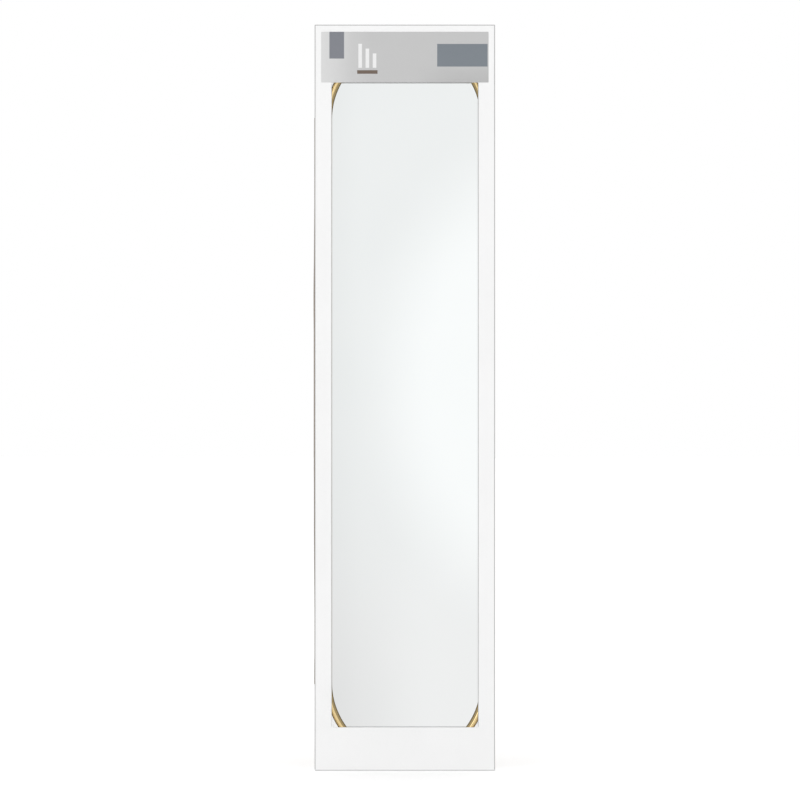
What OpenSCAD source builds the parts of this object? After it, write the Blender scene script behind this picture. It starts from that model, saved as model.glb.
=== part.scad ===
// Over-the-door mirror: a pill-shaped mirror in a slim gold frame, with two height-adjustable
// door hooks on its back, inside the white window card that it is displayed in.
// Axes: X to the viewer's right, Z up, -Y towards the viewer. The origin is the centre of the
// back board's rear face, so everything at Y > 0 lies behind the mirror.

/* [Frame] */
// Width of the frame over its straight sides
frame_w = 270; // [250:1:400]
// Height of the frame over its round ends
frame_h = 1210; // [1000:5:1600]
// Depth of the frame from its rear rim to its crest
frame_d = 22; // [21:0.5:30]
// Width of the frame's face, seen from the front
face_w = 11; // [10.5:0.5:14]
// Width of glass that the frame's lip covers
glass_lap = 4; // [3:0.1:4.5]
// Radius of the rounded outer flank
flank_r = 5; // [3:0.5:6]
// Depth from the crest down to the rear of the lip
lip_d = 8; // [7:0.5:9]
// Width of the profile's inner chamber
chamber_w = 3.4; // [2.5:0.1:3.6]
// Depth of the profile's inner chamber
chamber_d = 9; // [6:0.5:9]
// Thickness of the rear rim over the chamber
rim_t = 3; // [2:0.1:3.5]
// Gap where the two frame halves meet
seam_gap = 0.2; // [0.1:0.1:1]

/* [Layers] */
// Thickness of the bedding tape
tape_t = 0.5; // [0.3:0.1:1]
// Thickness of the glass
glass_t = 4; // [3:0.5:5]
// Thickness of the safety film
film_t = 0.3; // [0.2:0.1:0.5]
// Thickness of the back board
board_t = 3; // [2.5:0.5:5]
// Gap between the glass or board and the frame around it
glass_gap = 0.4; // [0.2:0.1:1]

/* [Splice] */
// Length of a splice key
key_l = 80; // [60:1:120]
// Gap between a key and the chamber on every side
key_gap = 0.05; // [0.02:0.01:0.1]
// Distance of a splice screw from the seam
splice_screw_z = 20; // [12:1:28]
// Length of a splice screw
splice_screw_l = 8; // [6:0.5:10]

/* [Small screws] */
// Shaft radius of the frame's small screws
screw_r = 1.5; // [1.25:0.05:1.6]
// Head radius of the small screws
screw_head_r = 2.6; // [2.4:0.1:2.8]
// Head height of the small screws
screw_head_h = 1.6; // [1.2:0.1:2]
// Gap between a screw's shaft and its hole
screw_gap = 0.05; // [0.02:0.01:0.1]
// Depth to which the rim screws go into the frame
screw_depth = 6; // [5:0.5:9]

/* [Turn buttons] */
// Half width of a turn button
button_r = 3.4; // [3:0.1:3.4]
// Distance from a turn button's pivot to the centre of its round tip
button_reach = 15; // [12:0.5:25]
// Thickness of a turn button
button_t = 1; // [0.8:0.1:2]
// Gap under a turn button
button_gap = 0.1; // [0.05:0.05:0.3]
// Distance between the upper and lower turn buttons on one side
button_rows = 460; // [200:5:600]

/* [Hanging rail] */
// Distance from the top of the frame down to the middle of the rail
rail_drop = 140; // [130:1:160]
// Height of the rail
rail_h = 40; // [34:1:50]
// Thickness of the rail
rail_t = 2; // [1.5:0.1:3]
// Gap from the ends of the rail to the outline of the frame
rail_inset = 0.6; // [0.3:0.1:1.5]
// Distance between the two screws at one end of the rail
rail_screw_gap = 20; // [14:1:24]
// Radius of a keyhole's round part
keyhole_r = 4.5; // [4:0.1:6]
// Half width of a keyhole's slot
keyhole_slot_r = 2.2; // [1.8:0.1:2.4]
// Length of a keyhole's slot between centres
keyhole_slot_l = 9; // [8:0.5:12]
// Distance between the two keyholes
keyhole_spacing = 60; // [50:1:70]
// Free space round a keyhole in the back board
keyhole_relief = 2.5; // [1:0.5:4]

/* [Door hooks] */
// Distance between the centres of the two hooks
hook_spacing = 120; // [110:1:140]
// Width of a hook's strip
hook_w = 20; // [16:1:24]
// Thickness of a hook's strip
hook_t = 2; // [1.5:0.1:3]
// Thickness of door that a hook takes, between its pads
door_gap = 45; // [38:0.5:50]
// Length of the lip behind the door
lip_l = 35; // [20:1:60]
// Inner radius of a hook's bends
hook_bend_r = 1.5; // [1:0.1:3]
// Distance from the top of the frame down to the underside of a lowered hook
hook_top_drop = 25; // [22:1:40]
// Height through which a hook can be raised
hook_travel = 120; // [60:5:120]
// Thickness of a hook's felt pads
hook_pad_t = 1.5; // [1:0.1:3]
// Gap from the slot of a hook to its thumb screw
slot_gap = 0.5; // [0.3:0.1:1]
// Length of strip left below the slot
slot_end = 12; // [8:0.5:20]
// Gap between a hook's flat faces and what it slides on
slide_gap = 0.3; // [0.2:0.05:0.6]
// Height of the sloping step between a hook's lower and upper strip
step_h = 14; // [8:1:20]

/* [Hook guides] */
// Thickness of a guide's sheet
guide_t = 1.2; // [1:0.1:1.5]
// Gap between a hook's edges and its guide
guide_gap = 0.2; // [0.1:0.05:0.5]

/* [Thumb screws] */
// Shaft radius of a thumb screw
thumb_r = 2.5; // [2:0.1:3]
// Gap between a thumb screw's shaft and its hole
thumb_gap = 0.05; // [0.02:0.01:0.1]
// Radius of a thumb screw's knob
knob_r = 9; // [7:0.5:10]
// Height of a thumb screw's knob
knob_h = 6; // [4:0.5:6.5]
// Radius of the grooves round the knob
groove_r = 0.8; // [0.4:0.1:1]
// Number of grooves round the knob
grooves = 24; // [12:1:30]

/* [Bumpers] */
// Radius of a rubber bumper
bumper_r = 9; // [6:0.5:14]
// Distance from the mirror's back to the door
door_space = 14; // [13:0.5:25]
// Distance between the bumpers of one row
bumper_spacing = 120; // [60:1:180]
// Distance from the bottom of the frame up to the lower row
bumper_low = 170; // [120:1:250]
// Distance between the two rows of bumpers
bumper_rows = 490; // [200:5:600]

/* [Display card] */
// Thickness of the card
card_t = 1.5; // [1:0.1:3]
// Gap between the frame's crest and the card in front of it
card_front_gap = 0.5; // [0.3:0.1:2]
// Gap between the frame's sides and the card's sides, as the mean of left and right
card_side_gap = 14; // [8:0.5:20]
// Distance that the card sits to the left of the mirror's middle
card_shift = 2.5; // [0:0.5:4]
// Room between the top of the frame and the card
card_top_gap = 21; // [8:0.5:40]
// Room between the bottom of the frame and the card
card_bottom_gap = 10; // [3:0.5:40]
// Distance that the card's sides stop short of the frame's rear rim
card_back_gap = 0.5; // [0.3:0.1:3]
// Width of the card beside its window
border_side = 28.5; // [20:0.5:40]
// Height of the card below its window
border_bottom = 72.5; // [40:0.5:100]
// Height of the card above its window
border_top = 96.5; // [60:0.5:120]
// Distance from the card's sides to the label
label_side = 11; // [5:0.5:20]
// Distance from the card's top to the label
label_top = 12; // [5:0.5:20]
// Thickness of the label
label_t = 0.3; // [0.2:0.1:0.5]

/* [Closing flap] */
// Length of the card's flap along its left side
flap_l = 944; // [600:2:1100]
// Width of the flap, along the card's side
flap_w = 17; // [10:0.5:20]
// Thickness of the flap where it is thickest
flap_t = 1.7; // [1:0.1:3]
// Distance from the card's face back to the flap
flap_front_gap = 3; // [2:0.5:5]

/* [Packing pads] */
// Gap between the pads and the frame
pad_gap = 0.4; // [0.3:0.1:1]
// Length of frame that each end pad reaches round
pad_cover = 100; // [60:1:140]
// Length of a side pad
side_pad_l = 120; // [60:1:160]
// Distance between the upper and lower side pads
side_pad_rows = 500; // [300:5:560]

/* [Hidden] */
$fn = 96;

// Overshoot of a cutting shape past the surface that it cuts
cut = 1;
// Steps in a quarter of a rounded edge
arc_steps = 6;

// The outline: two half circles of radius outer_r about (0, +-spine)
outer_r = frame_w / 2;
spine = frame_h / 2 - outer_r;
inner_r = outer_r - face_w;
rebate_r = inner_r + glass_lap + glass_gap;
glass_r = rebate_r - glass_gap;
rim_mid_r = (outer_r + rebate_r) / 2;
chamber_r0 = rim_mid_r - chamber_w / 2;

// Depths, as Y of each layer's rear face, counted from the rear rim at Y = 0
lip_y = -(frame_d - lip_d);
tape_y = lip_y + tape_t;
glass_y = tape_y + glass_t;
film_y = glass_y + film_t;
board_y = -board_t;

// Places on the rear rim of the turn buttons: [x, z, direction in which the button points]
button_z = button_rows / 2;
button_top = spine + rim_mid_r;
BUTTONS = [
    [rim_mid_r, button_z, 180], [0, button_top, 270], [-rim_mid_r, button_z, 0],
    [-rim_mid_r, -button_z, 0], [0, -button_top, 90], [rim_mid_r, -button_z, 180]
];

// Rail and what sits on it
rail_z = frame_h / 2 - rail_drop;
rail_screw_dz = rail_screw_gap / 2;
hook_x = hook_spacing / 2;

// Hook, at rest in its lowest place
strip_y = rail_t + guide_t + slide_gap;
guide_h = strip_y + hook_t - rail_t;
upper_y = door_space - hook_pad_t - hook_t;
hook_z = frame_h / 2 - hook_top_drop;
lip_y0 = door_space + door_gap + hook_pad_t;
slot_r = thumb_r + slot_gap;
strip_z = rail_z - hook_travel - slot_r - slot_end;
step_z = rail_z + rail_h / 2 + step_h;
step_angle = atan((upper_y - strip_y) / step_h);
step_miter = hook_t * tan(step_angle / 2);
knob_y = strip_y + hook_t + slide_gap;

// Card, in X about its own middle and in Z
card_in_x = outer_r + card_side_gap;
card_out_x = card_in_x + card_t;
card_in_top = frame_h / 2 + card_top_gap;
card_out_top = card_in_top + card_t;
card_in_bottom = -frame_h / 2 - card_bottom_gap;
card_out_bottom = card_in_bottom - card_t;
card_in_y = -frame_d - card_front_gap;
card_out_y = card_in_y - card_t;
window_top = card_out_top - border_top;
window_bottom = card_out_bottom + border_bottom;

// The flap's thickness along its length: [height as a share of its half length, share of its thickness]
FLAP_SHAPE = [
    [-1, 0.42], [-0.93, 0.36], [-0.9, 0.2], [-0.75, 0.2], [-0.68, 0.3], [-0.6, 0.46], [-0.48, 0.68],
    [-0.32, 0.7], [-0.23, 0.82], [0.25, 0.82], [0.32, 1], [0.39, 1], [0.49, 0.7], [0.57, 0.53],
    [0.7, 0.3], [1, 0.3]
];

GOLD = "#c8a662";
STEEL = "#b9bcc0";
CARD_WHITE = "#f6f6f6";

// X of the middle of the rear rim at height z on the upper right of the frame
function rim_point_x(z) = z > spine ? sqrt(pow(rim_mid_r, 2) - pow(z - spine, 2)) : rim_mid_r;

// Points along an arc of radius r about (cx, cy), from angle a0 to angle a1
function arc(cx, cy, r, a0, a1) =
    [for (i = [0:arc_steps]) let (a = a0 + (a1 - a0) * i / arc_steps) [cx + r * cos(a), cy + r * sin(a)]];

// A drawing in X and Z, given depth from y0 to y1
module plate(y0, y1) {
    translate([0, y1, 0])
        rotate([90, 0, 0])
            linear_extrude(y1 - y0)
                children();
}

// A round bar along Y at (x, z), from y0 to y1
module bar(x, z, y0, y1, r) {
    translate([x, y1, z])
        rotate([90, 0, 0])
            cylinder(h = y1 - y0, r = r);
}

// The mirror's outline with end radius r
module pill(r) {
    square([2 * r, 2 * spine], center = true);
    for (side = [-1, 1])
        translate([0, side * spine])
            circle(r = r, $fn = 180);
}

// A bar with round ends between two heights, in X and Z
module slot_shape(r, z0, z1) {
    translate([-r, z0])
        square([2 * r, z1 - z0]);
    for (z = [z0, z1])
        translate([0, z])
            circle(r = r);
}

// A small pan-head screw along Y, its head on the plane at head_y
module pan_screw(x, z, head_y, tip_y) {
    bar(x, z, tip_y, head_y + screw_head_h / 2, screw_r);
    bar(x, z, head_y, head_y + screw_head_h / 2, screw_head_r);
    translate([x, head_y + screw_head_h / 2, z])
        rotate([-90, 0, 0])
            cylinder(h = screw_head_h / 2, r1 = screw_head_r, r2 = screw_head_r * 0.7);
}

// Section of the frame: X is the distance from the outline's centre line, Y the height over the rear rim
module frame_section() {
    difference() {
        polygon(concat(
            [[rebate_r, 0], [outer_r, 0]],
            arc(outer_r - flank_r, frame_d - flank_r, flank_r, 0, 90),
            [
                [inner_r + 4.6, frame_d - 0.4],
                [inner_r + 1.2, frame_d - 3.4],
                [inner_r, frame_d - 4.2],
                [inner_r, frame_d - lip_d + 1],
                [inner_r + 0.6, frame_d - lip_d],
                [rebate_r, frame_d - lip_d]
            ]
        ));
        translate([chamber_r0, rim_t])
            square([chamber_w, chamber_d]);
    }
}

// Holes in the rear rim, at the given places
module rim_holes(places) {
    for (p = places)
        bar(p[0], p[1], -screw_depth - cut, cut, screw_r + screw_gap);
}

// One half of the frame, from the seam up and round the top
module frame_half() {
    translate([0, 0, spine])
        rotate([90, 0, 0])
            rotate_extrude(angle = 180, $fn = 180)
                frame_section();
    for (side = [0, 1])
        mirror([side, 0, 0])
            translate([0, 0, seam_gap / 2])
                mirror([0, 1, 0])
                    linear_extrude(spine - seam_gap / 2)
                        frame_section();
}

// Places of the splice screws in one half of the frame, and of the rail's screws
function splice_places(up) = [for (side = [-1, 1]) [side * rim_mid_r, up * splice_screw_z]];
function rail_places() = [
    for (side = [-1, 1], up = [-1, 1])
        let (z = rail_z + up * rail_screw_dz)
            [side * rim_point_x(z), z]
];

module frame_upper() {
    color(GOLD)
        difference() {
            frame_half();
            rim_holes([BUTTONS[0], BUTTONS[1], BUTTONS[2]]);
            rim_holes(splice_places(1));
            rim_holes(rail_places());
        }
}

module frame_lower() {
    color(GOLD)
        difference() {
            mirror([0, 0, 1])
                frame_half();
            rim_holes([BUTTONS[3], BUTTONS[4], BUTTONS[5]]);
            rim_holes(splice_places(-1));
        }
}

// A flat bar that fills the profile's chamber across the seam
module splice_key(side) {
    color(STEEL)
        difference() {
            translate([
                side * rim_mid_r - chamber_w / 2 + key_gap,
                -rim_t - chamber_d + key_gap,
                -key_l / 2
            ])
                cube([chamber_w - 2 * key_gap, chamber_d - 2 * key_gap, key_l]);
            for (up = [-1, 1])
                bar(side * rim_mid_r, up * splice_screw_z, -splice_screw_l - cut, cut, screw_r + screw_gap);
        }
}

module splice_key_left() {
    splice_key(-1);
}

module splice_key_right() {
    splice_key(1);
}

module splice_screws() {
    color(STEEL)
        for (p = concat(splice_places(1), splice_places(-1)))
            pan_screw(p[0], p[1], 0, -splice_screw_l);
}

module mirror_glass() {
    color("#eef1f0")
        plate(tape_y, glass_y)
            pill(glass_r);
}

module lip_tape() {
    color("white")
        plate(lip_y, tape_y)
            difference() {
                pill(glass_r - 0.2);
                pill(inner_r + 1);
            }
}

module safety_film() {
    color("#9fb4c8")
        plate(glass_y, film_y)
            pill(glass_r);
}

module filler_sheet() {
    color("#c9ad83")
        plate(film_y, board_y)
            pill(glass_r);
}

module back_board() {
    color("#8f6f4c")
        difference() {
            plate(board_y, 0)
                pill(glass_r);
            for (side = [-1, 1])
                translate([side * keyhole_spacing / 2, 0, rail_z])
                    plate(board_y - cut, cut)
                        slot_shape(keyhole_r + keyhole_relief, -keyhole_slot_l / 2, keyhole_slot_l / 2);
        }
}

// A flat steel tongue that turns on a screw in the rear rim
module turn_button(i) {
    color(STEEL)
        translate([BUTTONS[i][0], 0, BUTTONS[i][1]])
            plate(button_gap, button_gap + button_t)
                rotate(BUTTONS[i][2] - 90)
                    difference() {
                        slot_shape(button_r, 0, button_reach);
                        circle(r = screw_r + screw_gap);
                    }
}

module turn_button_1() {
    turn_button(0);
}

module turn_button_2() {
    turn_button(1);
}

module turn_button_3() {
    turn_button(2);
}

module turn_button_4() {
    turn_button(3);
}

module turn_button_5() {
    turn_button(4);
}

module turn_button_6() {
    turn_button(5);
}

module button_screws() {
    color(STEEL)
        for (p = BUTTONS)
            pan_screw(p[0], p[1], button_t + 2 * button_gap, -screw_depth);
}

// A keyhole: the round part takes a screw's head, the slot above it the screw's neck
module keyhole() {
    translate([0, -keyhole_slot_l / 2])
        circle(r = keyhole_r);
    slot_shape(keyhole_slot_r, -keyhole_slot_l / 2, keyhole_slot_l / 2);
}

module hanging_rail() {
    color(STEEL)
        plate(0, rail_t)
            difference() {
                intersection() {
                    pill(outer_r - rail_inset);
                    translate([-outer_r, rail_z - rail_h / 2])
                        square([2 * outer_r, rail_h]);
                }
                for (side = [-1, 1]) {
                    translate([side * keyhole_spacing / 2, rail_z])
                        keyhole();
                    translate([side * hook_x, rail_z])
                        circle(r = thumb_r + thumb_gap);
                }
                for (p = rail_places())
                    translate(p)
                        circle(r = screw_r + screw_gap);
            }
}

module rail_screws() {
    color(STEEL)
        for (p = rail_places())
            pan_screw(p[0], p[1], rail_t, -screw_depth);
}

// A channel on the rail that keeps a hook upright
module hook_guide(side) {
    half_w = hook_w / 2 + guide_gap;
    color(STEEL)
        translate([side * hook_x, 0, rail_z])
            difference() {
                translate([-half_w - guide_t, rail_t, -rail_h / 2])
                    cube([2 * (half_w + guide_t), guide_h, rail_h]);
                translate([-half_w, rail_t + guide_t, -rail_h / 2 - cut])
                    cube([2 * half_w, guide_h, rail_h + 2 * cut]);
                bar(0, 0, rail_t - cut, rail_t + guide_t + cut, thumb_r + thumb_gap);
            }
}

module hook_guide_left() {
    hook_guide(-1);
}

module hook_guide_right() {
    hook_guide(1);
}

// Side view of a hook, in Y and Z: strip, sloping step, upper strip, bridge over the door, lip
module hook_side() {
    bend_out = hook_bend_r + hook_t;
    top_z = hook_z + hook_t;
    far_y = lip_y0 + hook_t;
    near_in_y = upper_y + hook_t;
    polygon(concat(
        [[strip_y, strip_z], [strip_y, step_z], [upper_y, step_z + step_h]],
        arc(upper_y + bend_out, top_z - bend_out, bend_out, 180, 90),
        arc(far_y - bend_out, top_z - bend_out, bend_out, 90, 0),
        [[far_y, hook_z - lip_l], [lip_y0, hook_z - lip_l]],
        arc(lip_y0 - hook_bend_r, hook_z - hook_bend_r, hook_bend_r, 0, 90),
        arc(near_in_y + hook_bend_r, hook_z - hook_bend_r, hook_bend_r, 90, 180),
        [
            [near_in_y, step_z + step_h - step_miter],
            [strip_y + hook_t, step_z - step_miter],
            [strip_y + hook_t, strip_z]
        ]
    ));
}

module hook(side) {
    color(STEEL)
        translate([side * hook_x, 0, 0])
            difference() {
                translate([-hook_w / 2, 0, 0])
                    rotate([90, 0, 90])
                        linear_extrude(hook_w)
                            hook_side();
                plate(strip_y - cut, strip_y + hook_t + cut)
                    slot_shape(slot_r, rail_z - hook_travel, rail_z);
            }
}

module hook_left() {
    hook(-1);
}

module hook_right() {
    hook(1);
}

// Felt where a hook touches the door's face and its back
module hook_pads(side) {
    inset = 2;
    pad_h = lip_l - hook_bend_r - 2 * inset;
    color("#3f4246")
        for (y = [door_space - hook_pad_t, lip_y0 - hook_pad_t])
            translate([side * hook_x - hook_w / 2 + inset, y, hook_z - lip_l + inset])
                cube([hook_w - 2 * inset, hook_pad_t, pad_h]);
}

module hook_pads_left() {
    hook_pads(-1);
}

module hook_pads_right() {
    hook_pads(1);
}

// A thumb screw: shaft through guide and rail, grooved knob behind the hook
module thumb_screw(side) {
    edge = 0.8;
    color(STEEL)
        translate([side * hook_x, 0, rail_z]) {
            bar(0, 0, slide_gap, knob_y + edge, thumb_r);
            difference() {
                translate([0, knob_y, 0])
                    rotate([-90, 0, 0])
                        rotate_extrude()
                            polygon([
                                [0, 0], [knob_r - edge, 0], [knob_r, edge],
                                [knob_r, knob_h - edge], [knob_r - edge, knob_h], [0, knob_h]
                            ]);
                for (i = [0:grooves - 1])
                    bar(
                        knob_r * cos(i * 360 / grooves), knob_r * sin(i * 360 / grooves),
                        knob_y - cut, knob_y + knob_h + cut, groove_r
                    );
            }
        }
}

module thumb_screw_left() {
    thumb_screw(-1);
}

module thumb_screw_right() {
    thumb_screw(1);
}

module back_bumpers() {
    edge = 1.5;
    low_z = -frame_h / 2 + bumper_low;
    color("#2c2c2e")
        for (side = [-1, 1], row = [0, 1])
            translate([side * bumper_spacing / 2, 0, low_z + row * bumper_rows])
                rotate([-90, 0, 0])
                    rotate_extrude()
                        polygon(concat(
                            [[0, 0], [bumper_r, 0]],
                            arc(bumper_r - edge, door_space - edge, edge, 0, 90),
                            [[0, door_space]]
                        ));
}

// A rectangle in X and Z between two corners
module panel(x0, z0, x1, z1) {
    translate([x0, z0])
        square([x1 - x0, z1 - z0]);
}

// Moves a drawing of the card from the card's own middle to the mirror's
module on_card() {
    translate([-card_shift, 0])
        children();
}

// The card's front: one flat sheet with the window cut out of it
module display_card() {
    color(CARD_WHITE)
        plate(card_out_y, card_in_y)
            on_card()
                difference() {
                    panel(-card_out_x, card_out_bottom, card_out_x, card_out_top);
                    panel(
                        border_side - card_out_x, window_bottom,
                        card_out_x - border_side, window_top
                    );
                }
}

// The card's sides: a strip that goes once round the mirror, folded at its corners and glued to the front
module card_sides() {
    color(CARD_WHITE)
        plate(card_in_y, -card_back_gap)
            on_card()
                difference() {
                    panel(-card_out_x, card_out_bottom, card_out_x, card_out_top);
                    panel(-card_in_x, card_in_bottom, card_in_x, card_in_top);
                }
}

// The card's closing flap: folded round to the outside of its left side and glued there, raw side out.
// It isn't pressed equally flat all along, so its thickness varies.
module closing_flap() {
    color("#6b5f52")
        plate(card_out_y + flap_front_gap, card_out_y + flap_front_gap + flap_w)
            on_card()
                translate([-card_out_x, 0])
                    polygon(concat(
                        [[0, -flap_l / 2]],
                        [for (p = FLAP_SHAPE) [-p[1] * flap_t, p[0] * flap_l / 2]],
                        [[0, flap_l / 2]]
                    ));
}

module header_label() {
    color("#c9c9ca")
        plate(card_out_y - label_t, card_out_y)
            on_card()
                panel(label_side - card_out_x, window_top, card_out_x - label_side, card_out_top - label_top);
}

// A honeycomb card block between the display card and a round end of the frame
module end_pad(z0, z1) {
    color("white")
        plate(card_in_y, -card_back_gap)
            difference() {
                on_card()
                    panel(-card_in_x, z0, card_in_x, z1);
                pill(outer_r + pad_gap);
            }
}

module top_pad() {
    end_pad(frame_h / 2 - pad_cover, card_in_top);
}

module bottom_pad() {
    end_pad(card_in_bottom, pad_cover - frame_h / 2);
}

module side_pads() {
    color("white")
        for (side = [0, 1], row = [-1, 1])
            mirror([side, 0, 0])
                plate(card_in_y, -card_back_gap)
                    translate([outer_r + pad_gap, row * side_pad_rows / 2 - side_pad_l / 2])
                        square([card_side_gap - pad_gap + (2 * side - 1) * card_shift, side_pad_l]);
}

frame_upper();
frame_lower();
splice_key_left();
splice_key_right();
splice_screws();
mirror_glass();
lip_tape();
safety_film();
filler_sheet();
back_board();
turn_button_1();
turn_button_2();
turn_button_3();
turn_button_4();
turn_button_5();
turn_button_6();
button_screws();
hanging_rail();
rail_screws();
hook_guide_left();
hook_guide_right();
hook_left();
hook_right();
hook_pads_left();
hook_pads_right();
thumb_screw_left();
thumb_screw_right();
back_bumpers();
display_card();
card_sides();
closing_flap();
header_label();
top_pad();
bottom_pad();
side_pads();
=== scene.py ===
# %% [markdown]
# # A pill-shaped door mirror in its display card
#
# The object is a tall mirror with round ends in a slim gold frame, still inside the white card
# that it is sold in. The card has one tall window, so from the front the frame shows only in the
# four corners of that window. Behind the mirror two steel hooks wait to be raised over a door.
#
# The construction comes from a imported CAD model. This script dresses it: some of the CAD pieces
# are kept and only get a finish, others are replaced by surfaces with rounded edges and finer
# detail.

# %% Load the frame
import math

import bmesh
import bpy
import numpy as np
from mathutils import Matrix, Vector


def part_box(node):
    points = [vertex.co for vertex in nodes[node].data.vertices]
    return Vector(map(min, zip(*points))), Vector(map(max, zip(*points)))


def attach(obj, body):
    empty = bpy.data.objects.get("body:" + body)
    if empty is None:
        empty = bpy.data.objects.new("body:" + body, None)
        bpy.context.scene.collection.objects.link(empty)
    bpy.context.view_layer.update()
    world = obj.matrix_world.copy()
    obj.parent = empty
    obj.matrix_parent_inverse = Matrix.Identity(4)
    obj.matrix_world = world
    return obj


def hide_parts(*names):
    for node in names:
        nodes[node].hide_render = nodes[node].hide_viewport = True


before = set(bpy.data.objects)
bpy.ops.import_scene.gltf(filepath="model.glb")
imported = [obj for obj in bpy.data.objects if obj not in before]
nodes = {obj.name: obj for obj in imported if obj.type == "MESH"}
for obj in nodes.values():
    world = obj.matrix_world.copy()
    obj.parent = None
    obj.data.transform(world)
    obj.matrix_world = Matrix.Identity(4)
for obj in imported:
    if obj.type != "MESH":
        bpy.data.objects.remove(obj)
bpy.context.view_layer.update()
MM = 0.001

# %% [markdown]
# ## The real sizes that the new pieces need
#
# Nothing here is fitted by eye. The frame, the card and the label are measured from the boxes of
# their CAD nodes, and only what a box can't tell, such as a sheet's thickness, is written as a
# value.

# %% Sizes
frame_low, frame_high = (np.array(c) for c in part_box("frame_upper"))
END_R = frame_high[0]                   # outer radius of a round end
SPINE = frame_high[2] - END_R           # height of a round end's centre above the middle
FRAME_D = -frame_low[1]                 # depth of the frame, rear rim to crest
SEAM = frame_low[2]                     # half of the gap between the two halves
FACE_W = 11 * MM                        # width of the frame's face
LIP_D = 8 * MM                          # crest to the rear of the lip
REBATE_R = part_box("mirror_glass")[1][0] + 0.4 * MM     # inside of the rim round the glass

card_low = np.array(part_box("display_card")[0])
card_high = np.array(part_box("card_sides")[1])
label_low, label_high = (np.array(c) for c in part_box("header_label"))
CARD_T = 1.5 * MM                       # thickness of the card
BORDER_SIDE, BORDER_BOTTOM = 28.5 * MM, 72.5 * MM      # from the card's outline to the window
window_low = np.array([card_low[0] + BORDER_SIDE, 0, card_low[2] + BORDER_BOTTOM])
window_high = np.array([card_high[0] - BORDER_SIDE, 0, label_low[2]])   # it ends at the label
print(f"round ends: radius {END_R / MM:.1f} mm about z = +-{SPINE / MM:.1f} mm")
print("window, in mm:", np.round((window_high - window_low)[[0, 2]] / MM, 1))

# %% [markdown]
# ## Studio: camera
#
# The photograph is square on to the card and shows almost no perspective, so a long lens from far
# away fits best. The card is 746 pixels tall in the picture, which fixes how wide the view is at
# the card's face, and the lens then fixes how far away the camera stands.

# %% Camera
PHOTO_SIDE = 800                             # pixels along each side of the photograph
CARD_TOP_PX, CARD_BOTTOM_PX = 24.6, 770.8    # the card's upper and lower edge in the photograph
CARD_LEFT_PX, CARD_RIGHT_PX = 314.5, 495.2   # its left and right edge
LENS, SENSOR = 200.0, 36.0                   # both in millimetres


def new_object(name, data):
    """An object made of a mesh, a camera or a lamp, put into the scene."""
    made = bpy.data.objects.new(name, data)
    bpy.context.scene.collection.objects.link(made)
    return made


metres_per_pixel = (card_high[2] - card_low[2]) / (CARD_BOTTOM_PX - CARD_TOP_PX)
view_width = PHOTO_SIDE * metres_per_pixel
card_middle_px = ((CARD_LEFT_PX + CARD_RIGHT_PX) / 2, (CARD_TOP_PX + CARD_BOTTOM_PX) / 2)
look_x = (card_low[0] + card_high[0]) / 2 + (PHOTO_SIDE / 2 - card_middle_px[0]) * metres_per_pixel
look_z = (card_low[2] + card_high[2]) / 2 - (PHOTO_SIDE / 2 - card_middle_px[1]) * metres_per_pixel
distance = view_width * LENS / SENSOR

camera_data = bpy.data.cameras.new("camera")
camera_data.lens, camera_data.sensor_width = LENS, SENSOR
camera_data.clip_end = 100
camera = new_object("camera", camera_data)
camera.location = (look_x, card_low[1] - distance, look_z)
camera.rotation_euler = (math.radians(90), 0, 0)
bpy.context.scene.camera = camera
bpy.context.scene.view_settings.view_transform = "Standard"
print(f"camera {distance:.2f} m in front of the card, {view_width:.3f} m wide view")

# %% [markdown]
# ## Meshes from formulas
#
# Every new piece is a grid of points worked out by numpy in one go: a closed outline carried
# along a path, or turned about an axis. One function makes a mesh of such a grid. It also writes
# the UV map as real lengths in metres, so that a finish can follow the surface at its true scale.

# %% Grid to mesh
SAME_POINT = 1e-7                            # metres: closer points of a new mesh become one


def grid_faces(rows, columns, close_rows, close_columns):
    """Quads with corners (i, j), (i+1, j), (i+1, j+1), (i, j+1), where a closed index wraps."""
    i = np.arange(rows if close_rows else rows - 1)
    j = np.arange(columns if close_columns else columns - 1)
    i, j = (a.ravel() for a in np.meshgrid(i, j, indexing="ij"))
    i2, j2 = (i + 1) % rows, (j + 1) % columns
    corners = [i * columns + j, i2 * columns + j, i2 * columns + j2, i * columns + j2]
    return np.stack(corners, axis=1)


def end_faces(rows, columns):
    """The two polygons that close an open sweep: the points of its first and of its last ring."""
    ring = np.arange(columns)
    return [ring, ring + (rows - 1) * columns]


def lengths_along(points, axis):
    """Running length along one grid direction: the summed distances between neighbouring points."""
    steps = np.linalg.norm(np.diff(points, axis=axis), axis=2)
    zero = np.zeros_like(np.take(steps, [0], axis=axis))
    return np.concatenate([zero, np.cumsum(steps, axis=axis)], axis=axis)


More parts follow.
